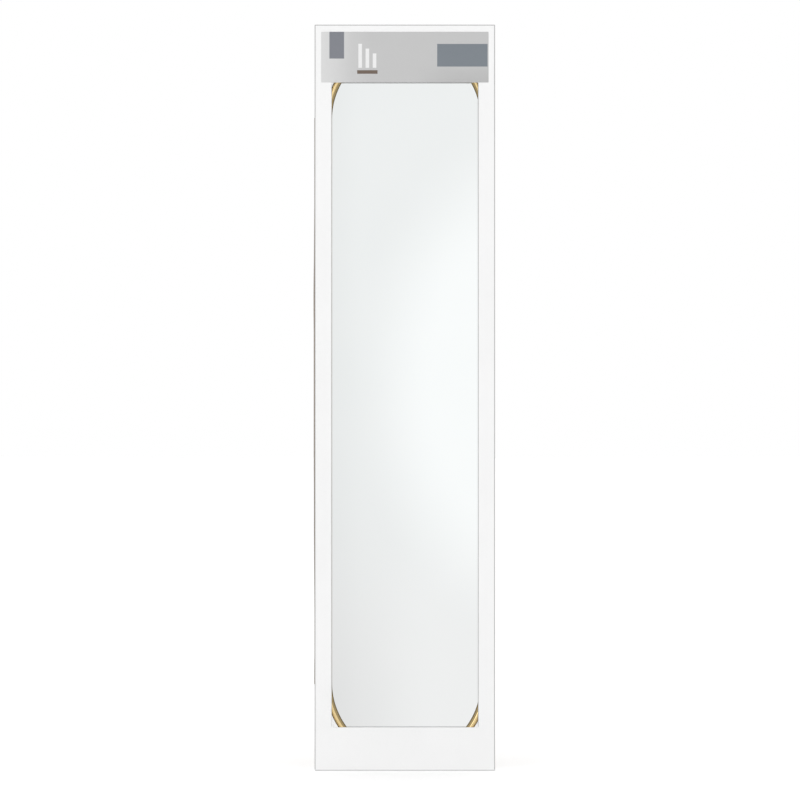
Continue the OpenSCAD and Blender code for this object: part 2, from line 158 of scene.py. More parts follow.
def build_mesh(name, points, faces, caps=(), uv=None, sharp_angle=35):
    """A mesh object of points (n, 3), quads (m, 4) and extra polygons. Equal points are merged."""
    mesh = bpy.data.meshes.new(name)
    mesh.from_pydata(points.tolist(), [], faces.tolist() + [list(map(int, c)) for c in caps])
    if uv is not None:
        layer = mesh.uv_layers.new(name="length")
        corner_vertex = np.empty(len(mesh.loops), dtype=np.int32)
        mesh.loops.foreach_get("vertex_index", corner_vertex)
        layer.data.foreach_set("uv", uv[corner_vertex].astype(np.float32).ravel())
    work = bmesh.new()
    work.from_mesh(mesh)
    bmesh.ops.remove_doubles(work, verts=work.verts, dist=SAME_POINT)
    bmesh.ops.dissolve_degenerate(work, dist=SAME_POINT, edges=work.edges)
    bmesh.ops.recalc_face_normals(work, faces=work.faces)
    work.to_mesh(mesh)
    work.free()
    mesh.shade_smooth()
    mesh.set_sharp_from_angle(angle=math.radians(sharp_angle))
    piece = new_object(name, mesh)
    weigh = piece.modifiers.new("flat faces stay flat", "WEIGHTED_NORMAL")
    weigh.keep_sharp = True
    return piece


# %% Dress a piece
def dressed(piece, body, slot, material, *replaced):
    """Lets a piece ride on its body, gives it its material and hides the CAD nodes it stands for.
    The finish slot is not used.
    """
    piece.data.materials.clear()
    piece.data.materials.append(material)
    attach(piece, body)
    if replaced:
        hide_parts(*replaced)
    print(f"{piece.name}: {len(piece.data.polygons)} faces")
    return piece


# %% [markdown]
# ## Node trees in few words
#
# A material is a small program of nodes. It could be wired by hand in the Shader Editor, but a
# tree that is written out can be read from top to bottom. `node` adds one node, sets its options
# and fills or links its inputs, and each helper after it stands for one sort of node that comes
# often.

# %% Nodes and values
def put(tree, socket, value):
    """Links another node's output to a socket, or fills the socket with a plain value."""
    if isinstance(value, bpy.types.NodeSocket):
        tree.links.new(value, socket)
    else:
        socket.default_value = value


def node(tree, kind, inputs=None, **options):
    """Adds a node with its options; inputs maps a socket's name or number to what it gets."""
    made = tree.nodes.new(kind)
    for key, value in options.items():
        setattr(made, key, value)
    for key, value in (inputs or {}).items():
        put(tree, made.inputs[key], value)
    return made


def math_node(tree, operation, a, b=0.0, c=0.0):
    """The output of a Math node."""
    return node(tree, "ShaderNodeMath", {0: a, 1: b, 2: c}, operation=operation).outputs[0]


def times(tree, a, b):
    """a * b."""
    return math_node(tree, "MULTIPLY", a, b)


def hypotenuse(tree, a, b):
    """sqrt(a^2 + b^2)."""
    return math_node(tree, "SQRT", math_node(tree, "MULTIPLY_ADD", a, a, times(tree, b, b)))


def smooth(tree, value, start, end, low=0.0, high=1.0):
    """A soft step: low below start, high above end, with an even curve between them."""
    return node(tree, "ShaderNodeMapRange",
                {"Value": value, "From Min": start, "From Max": end, "To Min": low, "To Max": high},
                interpolation_type="SMOOTHSTEP").outputs[0]


def fall(tree, value, start, end):
    """A soft step down: 1 below start, 0 above end."""
    return smooth(tree, value, start, end, 1.0, 0.0)


def grey(value):
    """A neutral colour."""
    return (value, value, value, 1.0)


def mix_colour(tree, factor, a, b, blend="MIX"):
    """The colour output of a Mix node."""
    return node(tree, "ShaderNodeMix", {0: factor, 6: a, 7: b}, data_type="RGBA", blend_type=blend,
                clamp_factor=True).outputs[2]


def laid_over(tree, tone, colour, value, start, end, most=1.0):
    """Lays a colour over a tone: not at all where the value is start, by the share most at end."""
    return mix_colour(tree, smooth(tree, value, start, end, 0.0, most), tone, colour)


def bump(tree, height, distance, strength=1.0):
    """The normal of a Bump node over a height that changes over the surface."""
    return node(tree, "ShaderNodeBump",
                {"Height": height, "Distance": distance, "Strength": strength}).outputs[0]


# %% Materials and groups
def object_place(tree):
    """The point on the surface in metres, in the frame that all the pieces share."""
    return node(tree, "ShaderNodeTexCoord").outputs["Object"]


def xyz(tree, place):
    """The three parts of a vector."""
    return node(tree, "ShaderNodeSeparateXYZ", {0: place}).outputs


def empty_tree(owner):
    """The node tree of a material or a world, switched on and cleared."""
    owner.use_nodes = True
    owner.node_tree.nodes.clear()
    return owner.node_tree


def new_material(name):
    """A material and what its makers need: the material, its tree, its shader, the object place."""
    made = bpy.data.materials.new(name)
    tree = empty_tree(made)
    shader = node(tree, "ShaderNodeBsdfPrincipled")
    node(tree, "ShaderNodeOutputMaterial", {"Surface": shader.outputs[0]})
    return made, tree, shader, object_place(tree)


def fill(tree, shader, **sockets):
    """Sets or links the Principled shader's sockets. Base_Color stands for "Base Color"."""
    for key, value in sockets.items():
        put(tree, shader.inputs[key.replace("_", " ")], value)


def finished(material):
    """Prints how large a material's tree has become."""
    print(f"{material.name}: {len(material.node_tree.nodes)} nodes")
    return material


def new_group(name, size_name, size, output):
    """A shader node group with a place and a size as inputs and one value as its output."""
    tree = bpy.data.node_groups.new(name, "ShaderNodeTree")
    for label, default in (("Vector", (0.0, 0.0, 0.0)), (size_name, size)):
        kind = "NodeSocketVector" if isinstance(default, tuple) else "NodeSocketFloat"
        tree.interface.new_socket(label, in_out="INPUT", socket_type=kind).default_value = default
    tree.interface.new_socket(output, in_out="OUTPUT", socket_type="NodeSocketFloat")
    given = tree.nodes.new("NodeGroupInput").outputs
    return tree, given[0], given[1], tree.nodes.new("NodeGroupOutput").inputs[0]


def effect(tree, group, place, size):
    """Places a shared effect in a material. Its size is a scale, or a stretch in X, Y and Z."""
    return node(tree, "ShaderNodeGroup", {0: place, 1: size}, node_tree=group).outputs[0]


# %% [markdown]
# ## Effects that several finishes share
#
# Real surfaces are never even. Three effects turn up again and again on this object: fine grain,
# as on paper and sheet metal, long hairlines left by rolling or brushing, and a soft blotchy
# change of tone. They could be drawn anew in each material. As node groups that take a place and
# a size they are made once and placed wherever a finish needs them.

# %% Shared effects
def noise(tree, place, scale, detail, roughness=0.5):
    """The value of a Noise texture, round 0.5."""
    inputs = {"Vector": place, "Scale": scale, "Detail": detail, "Roughness": roughness}
    return node(tree, "ShaderNodeTexNoise", inputs).outputs[0]


def make_grain_group():
    """Fine grain: the mean of two noises of different size, as a value round 0.5."""
    tree, place, scale, out = new_group("fine grain", "Scale", 1000.0, "Grain")
    coarse = noise(tree, place, scale, 3.0)
    finer = noise(tree, place, times(tree, scale, 3.7), 2.0)
    put(tree, out, times(tree, math_node(tree, "ADD", coarse, finer), 0.5))
    return tree


def make_hairline_group():
    """Hairlines: a noise stretched far along one direction, as a value round 0.5."""
    tree, place, stretch, out = new_group("hairlines", "Stretch", (1.0, 1.0, 1.0), "Lines")
    stretched = node(tree, "ShaderNodeVectorMath", {0: place, 1: stretch}, operation="MULTIPLY")
    put(tree, out, noise(tree, stretched.outputs[0], 1.0, 4.0, 0.6))
    return tree


def make_blotch_group():
    """Blotches: a large soft noise pulled towards its ends, from 0 to 1."""
    tree, place, scale, out = new_group("soft blotches", "Scale", 20.0, "Blotch")
    put(tree, out, smooth(tree, noise(tree, place, scale, 2.0), 0.35, 0.65))
    return tree


GRAIN, HAIRLINES, BLOTCHES = make_grain_group(), make_hairline_group(), make_blotch_group()
print("shared effects:", ", ".join(group.name for group in (GRAIN, HAIRLINES, BLOTCHES)))

# %% [markdown]
# ## Gold
#
# The frame is a rolled metal profile with a satin gold finish. Its colour is that of the metal
# itself, so it goes into Base Color with Metallic at 1, and most of what the eye reads as light
# and dark gold is what each part of the profile mirrors. Faint hairlines run along the profile,
# which the UV map follows round the bends. The lip's thin inner edge is painted darker: painted
# shade that stands in for the shadow in the narrow gap where the lip meets the glass.

# %% Gold
INNER_R = END_R - FACE_W                # inner radius of the face at a round end


def from_spine(tree, place):
    """Distance in X and Z from the mirror's middle line: sqrt(x^2 + max(|z| - spine, 0)^2)."""
    x, _, z = xyz(tree, place)
    past_spine = math_node(tree, "SUBTRACT", math_node(tree, "ABSOLUTE", z), SPINE)
    return hypotenuse(tree, x, math_node(tree, "MAXIMUM", past_spine, 0.0))


def make_gold():
    """Satin gold: warm metal, hairlines along the profile, a drifting tone, painted shade on the
    inner edge.
    """
    material, tree, shader, place = new_material("satin gold")
    along = node(tree, "ShaderNodeUVMap", uv_map="length").outputs[0]
    lines = effect(tree, HAIRLINES, along, (30.0, 9000.0, 1.0))
    blotch = effect(tree, BLOTCHES, place, 14.0)
    tone = mix_colour(tree, blotch, (0.84, 0.65, 0.33, 1), (0.88, 0.69, 0.37, 1))
    tone = laid_over(tree, tone, (0.72, 0.50, 0.22, 1), lines, 0.35, 0.7, 0.35)
    # painted shade: the lip's inner edge is darkened to stand in for the shadow where it meets the
    # glass
    painted_edge_shade = smooth(tree, from_spine(tree, place),
                     INNER_R + 0.6 * MM, INNER_R + 1.8 * MM, 0.85, 0.0)
    tone = mix_colour(tree, painted_edge_shade, tone, (0.16, 0.115, 0.05, 1))
    fill(tree, shader, Base_Color=tone, Metallic=1.0,
         Roughness=smooth(tree, lines, 0.3, 0.7, 0.14, 0.24),
         Normal=bump(tree, lines, 0.00002, 0.4))
    return finished(material)


GOLD = make_gold()

# %% [markdown]
# ## Mirror glass
#
# Silvered glass could be two surfaces, clear glass over bright silver. It returns almost all
# light, and only the silver's reflection counts, so one metal surface is enough. A trace of haze
# makes it real: roughness that drifts very slightly, and a cool, faintly green tint.

# %% Mirror glass
def make_mirror():
    """Silvered float glass with a trace of haze."""
    material, tree, shader, place = new_material("silvered glass")
    haze = effect(tree, BLOTCHES, place, 5.0)
    tone = mix_colour(tree, haze, (0.930, 0.940, 0.938, 1), (0.940, 0.948, 0.946, 1))
    fill(tree, shader, Base_Color=tone, Metallic=1.0,
         Roughness=smooth(tree, haze, 0, 1, 0.012, 0.028))
    return finished(material)


MIRROR = make_mirror()

# %% [markdown]
# ## White card
#
# The display card is smooth white card, cut with a die. Paper fibre gives it a very fine grain.
# Along its outer edge the card shows a thin grey outline: painted shade, standing in for the
# shading where the folded edge turns away from the light, and weaker at the bottom. Along the
# window's long cuts the grey line is partly the raw cut and partly painted shade, weaker on the
# left. They are too thin to be worth a crease in the mesh, so they are tones laid on by the
# distance to the card's and the window's outline. A painted glow, an emission on the rear face
# along the window's edge, lightens the gap where the mirror stands close behind it; it is
# strongest at the bottom and fades out towards the top. The raw side, on the closing flap, is
# grey-brown.

# %% Distances to a rectangle
def distances_to_rectangle(tree, parts, low, high):
    """Signed distances, below 0 inside: |x - middle| - half the width, and the same for z."""
    sides = []
    for axis in (0, 2):
        middle, half = (low[axis] + high[axis]) / 2, (high[axis] - low[axis]) / 2
        off = math_node(tree, "ABSOLUTE", math_node(tree, "SUBTRACT", parts[axis], middle))
        sides.append(math_node(tree, "SUBTRACT", off, half))
    return sides


def distance_to_rectangle(tree, parts, low, high):
    """Signed distance in X and Z to a rectangle's outline, below 0 inside: the larger of both."""
    return math_node(tree, "MAXIMUM", *distances_to_rectangle(tree, parts, low, high))


# %% White card
CARD_PAINTED_GLOW = 0.24                             # strength of the painted glow along the window's rear edge


def make_white_card():
    """White card: fibre grain, painted shade on the outer edge, grey cuts with painted shade, a
    painted glow along the window's rear edge.
    """
    material, tree, shader, place = new_material("white card")
    parts = xyz(tree, place)
    x, y, z = parts
    grain = effect(tree, GRAIN, place, 900.0)
    tone = mix_colour(tree, effect(tree, BLOTCHES, place, 9.0), grey(0.85), grey(0.865))
    tone = laid_over(tree, tone, grey(0.82), grain, 0.4, 0.6, 0.3)

    # painted shade: a grey line along the card's outer fold, weaker along the bottom edge
    to_edge = math_node(tree, "ABSOLUTE", distance_to_rectangle(tree, parts, card_low, card_high))
    less_at_bottom = smooth(tree, z, card_low[2] + 2 * MM, card_low[2] + 4 * MM, 0.6, 1.0)
    painted_fold_shade = times(tree, fall(tree, to_edge, 1.2 * MM, 2.1 * MM), less_at_bottom)
    at_front = fall(tree, y, card_low[1] + 1.5 * MM, card_low[1] + 2.5 * MM)
    tone = mix_colour(tree, times(tree, painted_fold_shade, at_front), tone, grey(0.455))

    # partly the grey raw cut, partly painted shade along the window's long cuts; weaker on the left
    beside, over = distances_to_rectangle(tree, parts, window_low, window_high)
    cut_edge_and_shade = times(tree, fall(tree, beside, 0.5 * MM, 1.3 * MM),
                     fall(tree, over, -2.0 * MM, -0.5 * MM))
    cut_edge_and_shade = times(tree, cut_edge_and_shade, smooth(tree, x, -1 * MM, 1 * MM, 0.3, 1.0))
    at_face = fall(tree, y, card_low[1] + 0.5 * MM, card_low[1] + 1.1 * MM)
    tone = mix_colour(tree, times(tree, cut_edge_and_shade, at_face), tone, grey(0.38))

    # painted glow: an emission lights the rear face near the window, strongest at the bottom and
    # none at the top
    at_rear = smooth(tree, y, card_low[1] + 1.2 * MM, card_low[1] + 1.6 * MM)
    near_window = fall(tree, math_node(tree, "MAXIMUM", beside, over), 2 * MM, 6 * MM)
    glow = times(tree, times(tree, at_rear, near_window),
                 fall(tree, z, window_low[2], window_high[2]))
    fill(tree, shader, Base_Color=tone, Roughness=smooth(tree, grain, 0.3, 0.7, 0.5, 0.62),
         Specular_IOR_Level=0.35, Normal=bump(tree, grain, 0.00004, 0.35),
         Emission_Color=mix_colour(tree, glow, grey(0.0), grey(1.0)), Emission_Strength=CARD_PAINTED_GLOW)
    return finished(material)


# %% Raw card
def make_raw_card():
    """The card's raw side: grey-brown waste fibres, some pale and some dark, and a dull surface."""
    material, tree, shader, place = new_material("raw side of the card")
    speck = effect(tree, GRAIN, place, 700.0)
    fibres = effect(tree, HAIRLINES, place, (900.0, 900.0, 240.0))
    cloud = effect(tree, BLOTCHES, place, 16.0)
    tone = mix_colour(tree, cloud, (0.205, 0.145, 0.095, 1), (0.250, 0.185, 0.128, 1))
    tone = laid_over(tree, tone, (0.24, 0.205, 0.165, 1), fibres, 0.5, 0.68, 0.5)
    tone = laid_over(tree, tone, (0.055, 0.045, 0.034, 1), speck, 0.54, 0.68, 0.5)
    fill(tree, shader, Base_Color=tone, Roughness=smooth(tree, speck, 0.3, 0.7, 0.78, 0.9),
         Specular_IOR_Level=0.25, Normal=bump(tree, fibres, 0.00006, 0.4))
    return finished(material)


WHITE_CARD, RAW_CARD = make_white_card(), make_raw_card()

# %% [markdown]
# ## Printed label
#
# The label is a grey print on smooth paper. It is lightest at its left end and darkens to the
# right. It carries plain shapes only: a narrow dark tag that hangs from the upper edge on the
# left, a dark block at the right, and between them a motif of pale bars over a low brown one. The
# shapes could be an image laid on the sheet. As rectangles that are worked out from distances
# they stay sharp from close by, and each is one line of a table.

# %% Printed label
LABEL_FIELDS = [     # left, right, top, bottom in mm from the label's upper left corner, and tone
    (13.7, 38.2, -1.0, 44.7, (0.192, 0.201, 0.228)),
    (193.4, 277.4, 20.2, 58.0, (0.177, 0.202, 0.228)),
]
LABEL_BARS = [       # the same, for the motif
    (62.0, 68.0, 20.0, 60.0, (0.80, 0.80, 0.80)),
    (74.0, 80.0, 28.0, 60.0, (0.80, 0.80, 0.80)),
    (86.0, 92.0, 36.0, 60.0, (0.80, 0.80, 0.80)),
    (60.0, 94.0, 64.0, 70.0, (0.14, 0.10, 0.075)),
]
LABEL_TONES = [(0.0, 0.657), (0.07, 0.63), (0.18, 0.554), (0.30, 0.516), (1.0, 0.512)]


def make_label_print():
    """Grey print: a tone that goes by the place across, darker at the lower right; bare fields."""
    material, tree, shader, place = new_material("grey label print")
    parts = xyz(tree, place)
    width = label_high[0] - label_low[0]
    across = math_node(tree, "MULTIPLY_ADD", parts[0], 1 / width, -label_low[0] / width)
    ramp = node(tree, "ShaderNodeValToRGB", {0: across})
    stops = ramp.color_ramp.elements
    while len(stops) < len(LABEL_TONES):
        stops.new(0.5)
    for stop, (at, tone) in zip(stops, LABEL_TONES):
        stop.position, stop.color = at, grey(tone)
    lower_right = times(tree, smooth(tree, parts[0], 0.0, 0.09),
                        smooth(tree, parts[2], label_high[2] - 0.045, label_low[2]))
    tone = mix_colour(tree, lower_right, ramp.outputs[0], grey(0.455))
    for left, right, top, bottom, colour in LABEL_FIELDS + LABEL_BARS:
        low = (label_low[0] + left * MM, 0, label_high[2] - bottom * MM)
        high = (label_low[0] + right * MM, 0, label_high[2] - top * MM)
        inside = fall(tree, distance_to_rectangle(tree, parts, low, high), -0.3 * MM, 0.3 * MM)
        tone = mix_colour(tree, inside, tone, (*colour, 1))
    grain = effect(tree, GRAIN, place, 1300.0)
    tone = laid_over(tree, tone, grey(0.4), grain, 0.35, 0.65, 0.1)
    fill(tree, shader, Base_Color=tone, Roughness=smooth(tree, grain, 0.3, 0.7, 0.42, 0.52),
         Specular_IOR_Level=0.3, Normal=bump(tree, grain, 0.00002, 0.25))
    return finished(material)


LABEL_PRINT = make_label_print()

# %% [markdown]
# ## Steel, screws, rubber, felt and boards
#
# What lies behind the mirror is plain hardware. Zinc-plated sheet has a soft blue-grey sheen with
# rolling lines, screws are brighter, rubber is dark and dull, felt is a mat of fibres, and the
# back board is pressed wood fibre. The packing pads are white card over a honeycomb core. A
# single colour for each would look like plastic, so each gets the shared effect that its making
# leaves on it.

# %% Steel
def make_zinc():
    """Zinc-plated sheet: rolling lines, cloudy plating, a cool grey."""
    material, tree, shader, place = new_material("zinc-plated sheet")
    lines = effect(tree, HAIRLINES, place, (4000.0, 4000.0, 60.0))
    cloud = effect(tree, BLOTCHES, place, 120.0)
    tone = mix_colour(tree, cloud, (0.56, 0.575, 0.59, 1), (0.66, 0.665, 0.67, 1))
    tone = laid_over(tree, tone, grey(0.48), lines, 0.35, 0.65, 0.3)
    fill(tree, shader, Base_Color=tone, Metallic=1.0,
         Roughness=smooth(tree, lines, 0.3, 0.7, 0.3, 0.42),
         Normal=bump(tree, lines, 0.00002, 0.35))
    return finished(material)


def make_bright_zinc():
    """Bright plated screws: smooth metal with faint clouds."""
    material, tree, shader, place = new_material("bright plated steel")
    cloud = effect(tree, BLOTCHES, place, 400.0)
    tone = mix_colour(tree, cloud, (0.64, 0.65, 0.66, 1), (0.74, 0.74, 0.735, 1))
    fill(tree, shader, Base_Color=tone, Metallic=1.0,
         Roughness=smooth(tree, cloud, 0, 1, 0.18, 0.28),
         Normal=bump(tree, effect(tree, GRAIN, place, 2500.0), 0.00001, 0.3))
    return finished(material)


ZINC, BRIGHT_ZINC = make_zinc(), make_bright_zinc()


# %% Rubber and felt
def make_rubber():
    """Moulded rubber: near black, dull, with a fine matt skin."""
    material, tree, shader, place = new_material("soft rubber")
    grain = effect(tree, GRAIN, place, 1800.0)
    tone = mix_colour(tree, grain, grey(0.018), grey(0.035))
    fill(tree, shader, Base_Color=tone, Roughness=smooth(tree, grain, 0.3, 0.7, 0.62, 0.8),
         Normal=bump(tree, grain, 0.00008, 0.5))
    return finished(material)


def make_felt():
    """Pressed felt: short fibres in every direction, with a soft sheen."""
    material, tree, shader, place = new_material("grey felt")
    fibres = node(tree, "ShaderNodeTexVoronoi", {"Vector": place, "Scale": 1500.0}, feature="F1")
    lines = effect(tree, HAIRLINES, place, (900.0, 900.0, 2600.0))
    height = math_node(tree, "ADD", fibres.outputs[0], lines)
    tone = laid_over(tree, (0.022, 0.024, 0.027, 1), (0.06, 0.063, 0.068, 1), lines, 0.35, 0.65)
    fill(tree, shader, Base_Color=tone, Roughness=0.95, Sheen_Weight=0.4, Sheen_Roughness=0.5,
         Specular_IOR_Level=0.15, Normal=bump(tree, height, 0.0002, 0.6))
    return finished(material)


RUBBER, FELT = make_rubber(), make_felt()


# %% Boards and pads
def make_fibreboard():
    """Pressed fibreboard: brown, with short pale and dark fibres and a smooth pressed skin."""
    material, tree, shader, place = new_material("pressed fibreboard")
    speck = effect(tree, GRAIN, place, 420.0)
    fibres = effect(tree, HAIRLINES, place, (260.0, 260.0, 1100.0))
    cloud = effect(tree, BLOTCHES, place, 12.0)
    tone = mix_colour(tree, cloud, (0.205, 0.128, 0.068, 1), (0.245, 0.158, 0.088, 1))
    tone = laid_over(tree, tone, (0.36, 0.25, 0.15, 1), fibres, 0.52, 0.68, 0.6)
    tone = laid_over(tree, tone, (0.11, 0.066, 0.035, 1), speck, 0.54, 0.66, 0.5)
    fill(tree, shader, Base_Color=tone, Roughness=smooth(tree, speck, 0.3, 0.7, 0.45, 0.6),
         Specular_IOR_Level=0.4, Normal=bump(tree, speck, 0.00005, 0.4))
    return finished(material)


def make_brown_board():
    """Brown board: the filler sheet's plain kraft surface."""
    material, tree, shader, place = new_material("brown board")
    fibres = effect(tree, HAIRLINES, place, (500.0, 500.0, 2200.0))
    flutes = node(tree, "ShaderNodeTexWave", {"Vector": place, "Scale": 45.0, "Distortion": 0.4},
                  bands_direction="X")
    tone = laid_over(tree, (0.42, 0.28, 0.155, 1), (0.52, 0.37, 0.22, 1), fibres, 0.4, 0.62)
    fill(tree, shader, Base_Color=tone, Roughness=0.8,
         Normal=bump(tree, flutes.outputs[0], 0.0003, 0.4))
    return finished(material)


def make_pad_card():
    """White honeycomb card: a smooth liner that sinks a little over each cell of the core."""
    material, tree, shader, place = new_material("white honeycomb card")
    cells = node(tree, "ShaderNodeTexVoronoi",
                 {"Vector": place, "Scale": 110.0, "Randomness": 0.25}, feature="DISTANCE_TO_EDGE")
    dent = smooth(tree, cells.outputs[0], 0.0, 0.12)
    tone = mix_colour(tree, dent, grey(0.80), grey(0.86))
    tone = laid_over(tree, tone, grey(0.78), effect(tree, GRAIN, place, 700.0), 0.4, 0.6, 0.3)
    fill(tree, shader, Base_Color=tone, Roughness=0.62, Specular_IOR_Level=0.3,
         Normal=bump(tree, dent, 0.0002, 0.5))
    return finished(material)


FIBREBOARD, BROWN_BOARD, PAD_CARD = make_fibreboard(), make_brown_board(), make_pad_card()


# %% Tape and film
def make_soft_tape(name, light, dark):
    """Thin foam or film: an even tone with small closed pores."""
    material, tree, shader, place = new_material(name)
    pores = node(tree, "ShaderNodeTexVoronoi", {"Vector": place, "Scale": 1400.0}).outputs[0]
    tone = laid_over(tree, dark, light, pores, 0.1, 0.6)
    fill(tree, shader, Base_Color=tone, Roughness=0.7, Normal=bump(tree, pores, 0.0001, 0.4))
    return finished(material)


BEDDING = make_soft_tape("bedding tape", grey(0.74), grey(0.6))
FILM = make_soft_tape("backing film", (0.27, 0.36, 0.45, 1), (0.22, 0.3, 0.38, 1))

# %% [markdown]
# ## CAD pieces that keep their shape
#
# Flat sheets and hidden blocks are already right in the CAD model. They stay as they are and only
# change their material.

# %% Finish the kept CAD pieces
KEPT = {
    "mirror_glass": MIRROR, "lip_tape": BEDDING, "safety_film": FILM,
    "filler_sheet": BROWN_BOARD, "back_board": FIBREBOARD, "splice_key_left": ZINC,
    "splice_key_right": ZINC, "side_pads": PAD_CARD,
}
for name, material in KEPT.items():
    nodes[name].data.materials.clear()
    nodes[name].data.materials.append(material)
print("kept CAD pieces:", ", ".join(KEPT))

# %% [markdown]
# ## Outlines with round corners
#
# A real profile has no knife edges. They could be bevelled on the finished mesh, but it is
# simpler to round the outline before it is swept. An outline is given by its sharp corners and a
# radius for each, and every corner is swapped for an arc that touches both of its sides.

# %% Rounded outline
def rounded(corners, radii, steps=6):
    """Replaces each corner by an arc. With unit vectors a and b towards the neighbours and half the
    angle between them t, the arc starts at distance r / tan(t) and its centre lies at r / sin(t)
    along a + b."""
    corners = np.asarray(corners, dtype=float)
    arcs = []
    befores, afters = np.roll(corners, 1, 0), np.roll(corners, -1, 0)
    for here, before, after, r in zip(corners, befores, afters, radii):
        a = (before - here) / np.linalg.norm(before - here)
        b = (after - here) / np.linalg.norm(after - here)
        half = math.acos(np.clip(a @ b, -1, 1)) / 2
        middle = (a + b) / np.linalg.norm(a + b)
        centre = here + middle * r / math.sin(half)
        start, end = here + a * r / math.tan(half), here + b * r / math.tan(half)
        turn = np.linspace(0, 1, steps + 1)[:, None]
        chord = start + (end - start) * turn - centre
        arcs.append(centre + chord / np.linalg.norm(chord, axis=1, keepdims=True) * r)
    return np.concatenate(arcs)


# %% [markdown]
# ## The gold frame
#
# Each half of the frame is one profile bent into a long U. The profile is drawn once, as distance
# from the middle line and height over the rear rim: a quarter round on the outside, a bright
# crest, and a slope that drops to the thin lip over the glass. A path says where the profile's
# middle is and which way it looks, and the surface is every profile point at every step of the
# path. A square block with a bend modifier would smear the profile round the ends, so the sweep
# is worked out.

# %% Gold frame
FRAME_SECTION = rounded(
    np.array([
        (END_R, 0), (END_R, FRAME_D), (INNER_R + 4.9 * MM, FRAME_D), (INNER_R, FRAME_D - 4.3 * MM),
        (INNER_R, FRAME_D - LIP_D + 0.6 * MM), (INNER_R + 0.6 * MM, FRAME_D - LIP_D),
        (REBATE_R, FRAME_D - LIP_D), (REBATE_R, 0),
    ]),
    np.array([0.5, 5.0, 2.6, 0.6, 0.2, 0.2, 0.1, 0.3]) * MM,
)


def half_path(straight_steps=14, bend_steps=112):
    """Right side up, round the end, left side down: the direction's angle, its centre's height."""
    up = np.linspace(SEAM, SPINE, straight_steps)
    angle = np.concatenate([np.zeros(straight_steps), np.linspace(0, np.pi, bend_steps + 1)[1:-1],
                            np.full(straight_steps, np.pi)])
    height = np.concatenate([up, np.full(bend_steps - 1, SPINE), up[::-1]])
    return angle, height


def frame_half(name, up):
    """Sweep: x = r cos(angle), y = -height over the rim, z = up * (centre + r sin(angle))."""
    angle, centre = half_path()
    r, h = FRAME_SECTION.T
    points = np.empty((len(angle), len(r), 3))
    points[..., 0] = np.cos(angle)[:, None] * r
    points[..., 1] = -h
    points[..., 2] = up * (centre[:, None] + np.sin(angle)[:, None] * r)
    uv = np.stack([lengths_along(points, 0), lengths_along(points, 1)], axis=2).reshape(-1, 2)
    faces = grid_faces(len(angle), len(r), False, True)
    return build_mesh(name, points.reshape(-1, 3), faces, end_faces(len(angle), len(r)), uv)


for name, up in (("frame_upper", 1), ("frame_lower", -1)):
    dressed(frame_half("gold_" + name, up), "mirror", "gold_frame", GOLD, name)

# %% [markdown]
# ## The window card
#
# The card is a front sheet with a cut-out, and a strip of the same card glued on behind its edge
# as the sides. Pressed together they show one rounded edge, so both are drawn as one skin. A
# Boolean could cut the window, but it would leave knife edges. Seen as a surface the card is a
# ring: start at the window's cut, go out over the front, round the edge, back along the side,
# round the raw rear edge, and return on the inside. Each step of that walk is a rectangle with
# round corners, and the mesh is the loft through all of them.

# %% Loft through rectangles
CORNER_STEPS = 6


def rectangle_ring(low, high, inset, y, radius):
    """A rectangle in X and Z, inset from two corners, with corner arcs of the given radius."""
    x0, z0, x1, z1 = low[0] + inset, low[2] + inset, high[0] - inset, high[2] - inset
    turn = np.linspace(0, np.pi / 2, CORNER_STEPS)
    arcs = []
    for quarter, (cx, cz) in enumerate([(x1, z1), (x0, z1), (x0, z0), (x1, z0)]):
        a = turn + quarter * np.pi / 2
        middle_x = cx - radius if cx == x1 else cx + radius
        middle_z = cz - radius if cz == z1 else cz + radius
        arcs.append(np.stack([middle_x + radius * np.cos(a), np.full(CORNER_STEPS, y),
                              middle_z + radius * np.sin(a)], axis=1))
    return np.concatenate(arcs)


def loft(name, rings, closed):
    """Quads between neighbouring rings; an open loft is capped by its first and last ring."""
    points = np.stack(rings)
    rows, columns = points.shape[:2]
    ends = [] if closed else end_faces(rows, columns)
    return build_mesh(name, points.reshape(-1, 3), grid_faces(rows, columns, closed, True), ends)


# %% Window card
def window_card():
    """The walk round the card's section, as (rectangle, inset, y, corner radius) in millimetres."""
    thick, edge_r, corner_r, inner_r, cut_r = CARD_T / MM, 1.5, 1.2, 0.4, 0.6
    front, rear = card_low[1] / MM, card_high[1] / MM
    inner = front + thick
    bend = np.linspace(0, np.pi / 2, 9)
    outer = [("card", edge_r * (1 - np.sin(a)), front + edge_r * (1 - np.cos(a)), corner_r)
             for a in bend]
    walk = [
        ("window", 0, inner, cut_r), ("window", 0, front + 0.55, cut_r),
        ("window", -0.08, front + 0.28, cut_r), ("window", -0.28, front + 0.08, cut_r),
        ("window", -0.6, front, cut_r), ("window", -3, front, cut_r),
        ("card", 5, front, corner_r), *outer,
        ("card", 0, front + 4, corner_r), ("card", 0, rear - 3, corner_r),
        ("card", 0, rear - 0.2, corner_r), ("card", 0.1, rear - 0.06, 1.1),
        ("card", 0.3, rear, 1.0), ("card", thick - 0.3, rear, 0.5),
        ("card", thick - 0.1, rear - 0.06, inner_r), ("card", thick, rear - 0.2, inner_r),
        ("card", thick, rear - 3, inner_r), ("card", thick, inner + 3, inner_r),
        ("card", thick, inner + 0.4, inner_r), ("card", thick + 0.1, inner + 0.1, inner_r),
        ("card", thick + 0.4, inner, inner_r), ("card", 5, inner, inner_r),
        ("window", -3, inner, cut_r),
    ]
    boxes = {"card": (card_low, card_high), "window": (window_low, window_high)}
    rings = [rectangle_ring(*boxes[box], inset * MM, y * MM, r * MM) for box, inset, y, r in walk]
    return loft("window_card", rings, True)


dressed(window_card(), "card", "card_white", WHITE_CARD, "display_card", "card_sides")

